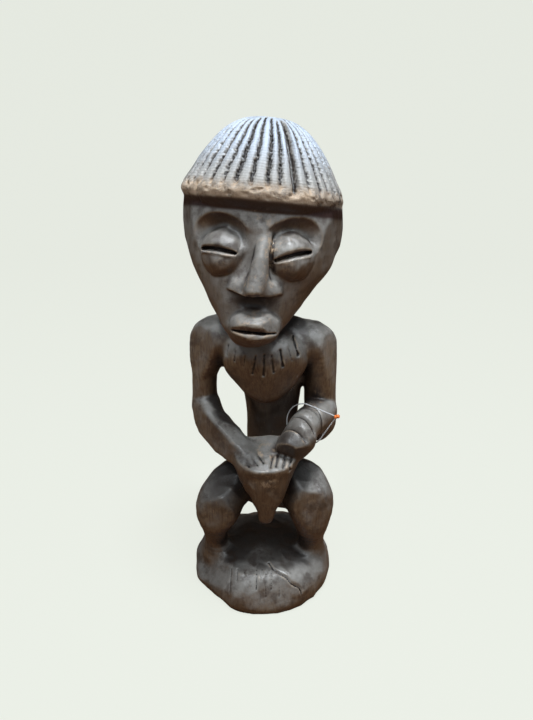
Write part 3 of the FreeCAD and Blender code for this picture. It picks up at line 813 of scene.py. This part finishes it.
def build_line():
    path = loop_path()
    curve = bpy.data.curves.new("wrist_line", "CURVE")
    curve.dimensions = "3D"
    curve.bevel_depth = LINE_RADIUS * MM
    curve.bevel_resolution = 4
    curve.use_fill_caps = True
    spline = curve.splines.new("POLY")
    spline.points.add(len(path) - 1)
    for point, place in zip(spline.points, path):
        point.co = (*(Vector(place) * MM), 1)
        point.radius = 1.0
    spline.use_smooth = True
    shape = bpy.data.objects.new("line_shape", curve)
    bpy.context.scene.collection.objects.link(shape)
    bpy.context.view_layer.update()
    graph = bpy.context.evaluated_depsgraph_get()
    mesh = bpy.data.meshes.new_from_object(shape.evaluated_get(graph))
    bpy.data.objects.remove(shape)
    piece = bpy.data.objects.new("wrist_line", mesh)
    bpy.context.scene.collection.objects.link(piece)
    return piece


# The clip's outline: distance along it and radius, in millimetres.
CLIP_OUTLINE = (
    (-1.75, 0.0), (-1.75, 0.75), (-1.6, 1.05), (-1.15, 1.2), (-0.9, 1.35), (-0.55, 1.4), (-0.35, 1.15),
    (0.35, 1.15), (0.55, 1.4), (0.9, 1.35), (1.15, 1.2), (1.6, 1.05), (1.75, 0.75), (1.75, 0.0),
)
CLIP_SIDES = 28


def build_clip():
    """A crimped barrel, pinched flat at its waist, where the two ends of the line meet."""
    across = unit(np.cross(CLIP_WAY, (0, 0, 1)))
    upward = np.cross(across, CLIP_WAY)
    middle = LOOP_CENTRE + CLIP_REACH * CLIP_WAY
    vertices = []
    for along, radius in CLIP_OUTLINE:
        pinch = 1 - 0.25 * math.exp(-((along / 0.5) ** 2))
        for k in range(CLIP_SIDES):
            angle = 2 * math.pi * k / CLIP_SIDES
            spot = math.cos(angle) * across + pinch * math.sin(angle) * upward
            vertices.append(middle + along * CLIP_WAY + max(radius, 0.02) * spot)
    quads = []
    for ring in range(len(CLIP_OUTLINE) - 1):
        for k in range(CLIP_SIDES):
            a, b = ring * CLIP_SIDES + k, ring * CLIP_SIDES + (k + 1) % CLIP_SIDES
            quads.append((a, b, b + CLIP_SIDES, a + CLIP_SIDES))
    piece = make_mesh("crimp_clip", np.array(vertices), np.array(quads, dtype=np.int32))
    smooth = piece.modifiers.new("rounding", "SUBSURF")
    smooth.levels = 1
    smooth.render_levels = 1
    return piece


# ---------------------------------------------------------------- material helpers


def add(tree, kind, inputs, **settings):
    """A node with its inputs linked or set, by name or by number."""
    node = tree.nodes.new(kind)
    for key, value in settings.items():
        setattr(node, key, value)
    for key, value in inputs.items():
        if isinstance(value, bpy.types.NodeSocket):
            tree.links.new(value, node.inputs[key])
        else:
            node.inputs[key].default_value = value
    return node


def reading(tree, name):
    return add(tree, "ShaderNodeAttribute", {}, attribute_name=name).outputs["Fac"]


def millimetres(tree, stretch=(1, 1, 1)):
    """Object coordinates in millimetres, stretched along each axis."""
    place = add(tree, "ShaderNodeTexCoord", {}).outputs["Object"]
    scale = tuple(s / MM for s in stretch)
    return add(tree, "ShaderNodeMapping", {"Vector": place, "Scale": scale}).outputs["Vector"]


def noise(tree, vector, size, detail=4.0, rough=0.55):
    """Noise from 0 to 1 with features about the given size."""
    inputs = {"Vector": vector, "Scale": 1 / size, "Detail": detail, "Roughness": rough}
    return add(tree, "ShaderNodeTexNoise", inputs).outputs["Fac"]


def band(tree, value, low, high):
    """0 at low, 1 at high, smooth between."""
    inputs = {"Value": value, "From Min": low, "From Max": high}
    return add(tree, "ShaderNodeMapRange", inputs, interpolation_type="SMOOTHSTEP").outputs["Result"]


def sum_up(tree, kind, a, b=0.0, c=0.0):
    """One step of arithmetic in the material, such as a times b plus c for MULTIPLY_ADD."""
    return add(tree, "ShaderNodeMath", {0: a, 1: b, 2: c}, operation=kind).outputs[0]


def mix(tree, share, a, b):
    return add(tree, "ShaderNodeMix", {0: share, 6: a, 7: b}, data_type="RGBA").outputs[2]


def colour(red, green, blue):
    """A screen colour, 0 to 255, as the light it stands for."""
    return (*[(c / 255) ** 2.2 for c in (red, green, blue)], 1.0)


def new_material(name):
    material = bpy.data.materials.new(name)
    material.use_nodes = True
    return material, material.node_tree, material.node_tree.nodes["Principled BSDF"]


def finish_with(tree, shader, values):
    for key, value in values.items():
        if isinstance(value, bpy.types.NodeSocket):
            tree.links.new(value, shader.inputs[key])
        else:
            shader.inputs[key].default_value = value


# ---------------------------------------------------------------- materials


PAINTED = (
    "edge", "hollow", "out_of_reach", "rim", "crown", "eaves", "rubbed", "stained", "head_height",
)


def wood_values(tree):
    """What the wood's colour and relief are made from: values painted on the mesh, and patterns."""
    even = millimetres(tree)
    normal = add(tree, "ShaderNodeNewGeometry", {}).outputs["Normal"]
    return SimpleNamespace(
        even=even,
        grain=noise(tree, millimetres(tree, (1, 1, 0.12)), 1.1, 6, 0.6),
        cloudy=noise(tree, even, 7, 5, 0.6),
        speckle=noise(tree, even, 0.9, 3, 0.7),
        upward=add(tree, "ShaderNodeSeparateXYZ", {"Vector": normal}).outputs["Z"],
        **{name: reading(tree, name) for name in PAINTED},
    )


def wood_with_painted_shading(tree, wood):
    """Smoky brown, greyed by dust and painted paler where it faces up, with painted red-brown shade
    below, and darkness in the hollows and cuts that is dirt and painted shade.
    """
    broad = noise(tree, wood.even, 26, 3, 0.5)
    brown = mix(tree, band(tree, broad, 0.35, 0.68), colour(103, 82, 62), colour(120, 100, 78))
    brown = mix(tree, band(tree, wood.grain, 0.42, 0.68), brown, colour(82, 60, 43))
    # the whole of the face is greyed, and what faces up is painted paler grey, partly dust and partly
    # painted light from above
    face = band(tree, wood.head_height, -95, -68)
    dust_and_top_light = sum_up(tree, "MULTIPLY_ADD", wood.cloudy, 0.55, wood.upward)
    dust_and_top_light = sum_up(tree, "MULTIPLY_ADD", face, 0.28, dust_and_top_light)
    grey = mix(tree, band(tree, wood.cloudy, 0.3, 0.7), colour(119, 115, 110), colour(142, 139, 134))
    skin = mix(tree, band(tree, dust_and_top_light, 0.05, 0.85), brown, grey)
    # painted shade: surfaces that face down are painted a darker red-brown
    painted_underside_shade = sum_up(tree, "MULTIPLY_ADD", wood.cloudy, -0.4, wood.upward)
    skin = mix(tree, band(tree, painted_underside_shade, -0.15, -0.95), skin, colour(82, 56, 38))
    # darker in the hollows and near black in the cuts and creases: dirt, and painted shade
    skin = mix(tree, band(tree, wood.hollow, 0.28, 0.75), skin, colour(40, 29, 24))
    return mix(tree, band(tree, wood.edge, -0.06, -0.40), skin, colour(30, 23, 20))


def darkened(tree, wood, skin):
    """The wood with painted shade where the figure hides itself from the light, lasting blacking, and
    stains and painted shade at listed places.
    """
    # painted shade: where other parts of the figure hide the wood from the light, as between the arms
    # and the legs, it is painted nearly black
    deep_shade_share = sum_up(tree, "MULTIPLY", band(tree, wood.out_of_reach, 0.30, 0.85), 0.85)
    skin = mix(tree, deep_shade_share, skin, colour(32, 25, 22))
    # uneven dark patches where the old blacking has lasted, though not on the crown
    blacking = band(tree, noise(tree, wood.even, 11, 5, 0.65), 0.50, 0.36)
    lasting = sum_up(tree, "MULTIPLY_ADD", wood.crown, -1.0, sum_up(tree, "MULTIPLY", blacking, 0.55))
    skin = mix(tree, lasting, skin, colour(56, 42, 33))
    # stains, and painted shade at some of the places listed
    return mix(tree, sum_up(tree, "MULTIPLY", wood.stained, 0.9), skin, colour(42, 31, 24))


def worn_pale_and_rim_shade(tree, wood, skin):
    """The wood with its nicks, rubbed edges and rough rim, which show the paler wood inside, and
    painted shade under the rim's overhang.
    """
    nicked = noise(tree, millimetres(tree, (1.5, 1.5, 0.5)), 1.7, 3, 0.5)
    nicks = sum_up(tree, "MULTIPLY", band(tree, nicked, 0.68, 0.74), 0.45)
    skin = mix(tree, nicks, skin, colour(150, 122, 96))
    in_places = band(tree, wood.cloudy, 0.36, 0.62)
    edges = sum_up(tree, "MULTIPLY", band(tree, wood.edge, 0.10, 0.42), in_places)
    skin = mix(tree, edges, skin, colour(154, 138, 120))
    uneven = band(tree, sum_up(tree, "MULTIPLY_ADD", wood.speckle, 0.5, wood.cloudy), 0.42, 0.85)
    worn = sum_up(tree, "MULTIPLY", wood.rim, uneven)
    worn = sum_up(tree, "MULTIPLY_ADD", wood.stained, -0.8, worn)
    skin = mix(tree, worn, skin, colour(186, 162, 137))
    # painted shade, dark red-brown, under the overhang of the hair's rim
    skin = mix(tree, wood.eaves, skin, colour(50, 32, 27))
    patches = band(tree, noise(tree, wood.even, 3.6, 6, 0.7), 0.50, 0.66)
    rubbed = sum_up(tree, "MULTIPLY", wood.rubbed, patches)
    return mix(tree, rubbed, skin, colour(186, 160, 132))


def painted_crown_highlight(tree, wood, skin):
    """The wood with a painted cool highlight on the top of the hair, where it faces up."""
    open_crown = sum_up(tree, "MULTIPLY", wood.crown, band(tree, wood.edge, -0.16, 0.12))
    highlight_share = sum_up(tree, "MULTIPLY", open_crown, band(tree, wood.upward, 0.0, 0.85))
    highlight_tone = mix(tree, band(tree, wood.head_height, 8, 34), colour(156, 154, 150), colour(180, 193, 210))
    return mix(tree, sum_up(tree, "MULTIPLY", highlight_share, 0.85), skin, highlight_tone)


def wood_relief(tree, wood):
    """Grain and unevenness all over, knife ripples on the hair and pits along its rim."""
    ripple_way = sum_up(tree, "MULTIPLY_ADD", wood.cloudy, 2.4, wood.head_height)
    ripples = sum_up(tree, "SINE", sum_up(tree, "MULTIPLY", ripple_way, 4.4))
    ripples = sum_up(tree, "MULTIPLY", ripples, wood.crown)
    height = sum_up(tree, "MULTIPLY_ADD", wood.grain, 0.16, sum_up(tree, "MULTIPLY", ripples, 0.055))
    height = sum_up(tree, "MULTIPLY_ADD", wood.cloudy, 0.45, height)
    height = sum_up(tree, "MULTIPLY_ADD", noise(tree, wood.even, 2.4, 4, 0.6), 0.22, height)
    pits = sum_up(tree, "MULTIPLY", wood.speckle, sum_up(tree, "MULTIPLY_ADD", wood.rim, 0.5, 0.09))
    height = sum_up(tree, "ADD", height, pits)
    relief = add(tree, "ShaderNodeBump", {"Height": height, "Distance": 1.0 * MM, "Strength": 0.8})
    return relief.outputs["Normal"]


def wood_roughness(tree, wood):
    """Low wax gloss in patches, duller on the rim and the crown."""
    dull = band(tree, sum_up(tree, "MULTIPLY_ADD", wood.speckle, 0.3, wood.cloudy), 0.4, 0.95)
    rough = sum_up(tree, "MULTIPLY_ADD", dull, 0.24, 0.31)
    rough = sum_up(tree, "MULTIPLY_ADD", wood.rim, 0.25, rough)
    return sum_up(tree, "MULTIPLY_ADD", wood.crown, 0.14, rough)


def wood_material():
    """Dark carved wood, from its darkest colour and painted shade to the places where it is worn, with
    a painted highlight on the crown.
    """
    material, tree, shader = new_material("dark_carved_wood")
    wood = wood_values(tree)
    skin = darkened(tree, wood, wood_with_painted_shading(tree, wood))
    skin = painted_crown_highlight(tree, wood, worn_pale_and_rim_shade(tree, wood, skin))
    finish_with(tree, shader, {
        "Base Color": skin, "Roughness": wood_roughness(tree, wood),
        "Normal": wood_relief(tree, wood), "Specular IOR Level": 0.68,
    })
    return material


def line_material():
    """Clear-white monofilament with slight scuffing along it."""
    material, tree, shader = new_material("nylon_line")
    even = millimetres(tree)
    scuff = noise(tree, even, 1.6, 4, 0.6)
    tone = mix(tree, band(tree, scuff, 0.4, 0.65), colour(214, 216, 218), colour(176, 176, 176))
    relief = add(tree, "ShaderNodeBump", {"Height": scuff, "Distance": 0.06 * MM, "Strength": 0.6})
    finish_with(tree, shader, {
        "Base Color": tone, "Roughness": sum_up(tree, "MULTIPLY_ADD", scuff, 0.25, 0.16),
        "Transmission Weight": 0.18, "IOR": 1.5, "Normal": relief.outputs["Normal"],
    })
    return material


def clip_material():
    """Moulded orange plastic, mottled a little paler in places."""
    material, tree, shader = new_material("orange_moulded_plastic")
    even = millimetres(tree)
    mottled = noise(tree, even, 0.7, 4, 0.6)
    tone = mix(tree, band(tree, mottled, 0.35, 0.7), colour(232, 112, 42), colour(246, 146, 82))
    relief = add(tree, "ShaderNodeBump", {"Height": mottled, "Distance": 0.08 * MM, "Strength": 0.5})
    finish_with(tree, shader, {
        "Base Color": tone, "Roughness": sum_up(tree, "MULTIPLY_ADD", mottled, 0.2, 0.3),
        "Normal": relief.outputs["Normal"],
    })
    return material


PAPER = colour(231, 235, 226)
FLOOR_GLOW = 0.96
BACKGROUND_GLOW = 0.93


def floor_material():
    """Pale paper: evenly bright to the camera, with a soft shadow, but warm and dim to the wood."""
    material, tree, shader = new_material("pale_floor")
    warm = {"Base Color": colour(125, 98, 76), "Roughness": 0.95, "Specular IOR Level": 0.0}
    finish_with(tree, shader, warm)
    paper = add(tree, "ShaderNodeEmission", {"Color": PAPER, "Strength": FLOOR_GLOW}).outputs[0]
    seen = add(tree, "ShaderNodeLightPath", {}).outputs["Is Camera Ray"]
    dim = add(tree, "ShaderNodeBsdfDiffuse", {"Color": colour(70, 71, 68)}).outputs[0]
    lit = add(tree, "ShaderNodeAddShader", {0: paper, 1: dim}).outputs[0]
    both = add(tree, "ShaderNodeMixShader", {0: seen, 1: shader.outputs[0], 2: lit}).outputs[0]
    tree.links.new(both, tree.nodes["Material Output"].inputs["Surface"])
    return material


# ---------------------------------------------------------------- the stage


def build_stage():
    """A pale floor that curves up into a wall behind the figure."""
    half_width, near_edge, bend_start, bend, wall_top = 2.5, -1.6, 1.0, 0.7, 3.0
    bend_steps = 16
    profile = [(near_edge, 0.0), (bend_start, 0.0)]
    for k in range(1, bend_steps + 1):
        angle = k / bend_steps * math.pi / 2
        profile.append((bend_start + bend * math.sin(angle), bend * (1 - math.cos(angle))))
    profile.append((bend_start + bend, wall_top))
    vertices = [(x, y, z) for y, z in profile for x in (-half_width, half_width)]
    faces = [(2 * k, 2 * k + 1, 2 * k + 3, 2 * k + 2) for k in range(len(profile) - 1)]
    mesh = bpy.data.meshes.new("floor")
    mesh.from_pydata(vertices, [], faces)
    for polygon in mesh.polygons:
        polygon.use_smooth = True
    floor = bpy.data.objects.new("floor", mesh)
    bpy.context.scene.collection.objects.link(floor)
    floor.data.materials.append(floor_material())


# Light colours. Places and sizes of lights are in metres, and powers in watts.
COOL = (0.88, 0.95, 1.0)
NEARLY_WHITE = (0.90, 0.95, 1.0)
WARM = (1.0, 0.78, 0.60)
AIR = (0.80, 0.90, 1.0, 1)


def aim_light(light, place, target):
    lamp = bpy.data.objects.new(light.name, light)
    lamp.location = place
    lamp.rotation_euler = (Vector(target) - Vector(place)).to_track_quat("-Z", "Y").to_euler()
    bpy.context.scene.collection.objects.link(lamp)


def area_light(name, place, target, size, power, tint):
    light = bpy.data.lights.new(name, "AREA")
    light.shape = "RECTANGLE"
    light.size, light.size_y = size
    light.energy = power
    light.color = tint
    aim_light(light, place, target)


def shoulder_light(side, power):
    """A narrow, soft-edged light past the head on to one shoulder."""
    light = bpy.data.lights.new("shoulder_light", "SPOT")
    light.spot_size = math.radians(6)
    light.spot_blend = 1.0
    light.shadow_soft_size = 0.05
    light.energy = power
    light.color = COOL
    aim_light(light, (side * 0.31, -0.30, 0.80), (side * 0.036, 0, 0.195))


def build_lights():
    """Cool light from overhead and on the shoulders, cool air light, and a dim warm fill in front."""
    middle = (0, 0, 0.16)
    area_light("key_light", (0.10, -0.16, 1.10), middle, (0.18, 0.16), 9.8, NEARLY_WHITE)
    area_light("soft_light", (0.0, -0.55, 0.95), middle, (0.7, 0.5), 4.0, COOL)
    area_light("low_fill", (-0.4, -1.0, 0.06), middle, (0.6, 0.3), 0.35, WARM)
    shoulder_light(-1, 26.0)
    shoulder_light(1, 26.0)
    world = bpy.data.worlds.new("studio")
    world.use_nodes = True
    tree = world.node_tree
    air = tree.nodes["Background"]
    finish_with(tree, air, {"Color": AIR, "Strength": 0.16})
    paper = add(tree, "ShaderNodeBackground", {"Color": PAPER, "Strength": BACKGROUND_GLOW}).outputs[0]
    seen = add(tree, "ShaderNodeLightPath", {}).outputs["Is Camera Ray"]
    both = add(tree, "ShaderNodeMixShader", {0: seen, 1: air.outputs[0], 2: paper}).outputs[0]
    tree.links.new(both, tree.nodes["World Output"].inputs["Surface"])
    bpy.context.scene.world = world


CAMERA_PLACE = (3.0, -400.0, 330.0)
CAMERA_DOWN = 22.0
FOCAL_SHARE = 654 / 720  # focal length over the long side of the picture
SENSOR = 36.0


def build_camera():
    camera = bpy.data.cameras.new("camera")
    camera.sensor_fit = "VERTICAL"
    camera.sensor_height = SENSOR
    camera.lens = SENSOR * FOCAL_SHARE
    camera.clip_start = 0.01
    holder = bpy.data.objects.new("camera", camera)
    holder.location = Vector(CAMERA_PLACE) * MM
    holder.rotation_euler = (math.radians(90 - CAMERA_DOWN), 0, 0)
    bpy.context.scene.collection.objects.link(holder)
    bpy.context.scene.camera = holder


# ---------------------------------------------------------------- the scene


def place_piece(piece, material, body, node):
    piece.data.materials.append(material)
    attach(piece, body)
    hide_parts(node)


place_piece(build_figure(), wood_material(), "figure", "carved_figure")
place_piece(build_line(), line_material(), "loop", "wrist_loop")
place_piece(build_clip(), clip_material(), "loop", "loop_clip")

build_stage()
build_lights()
build_camera()
bpy.context.scene.view_settings.view_transform = "Standard"

bpy.context.view_layer.update()
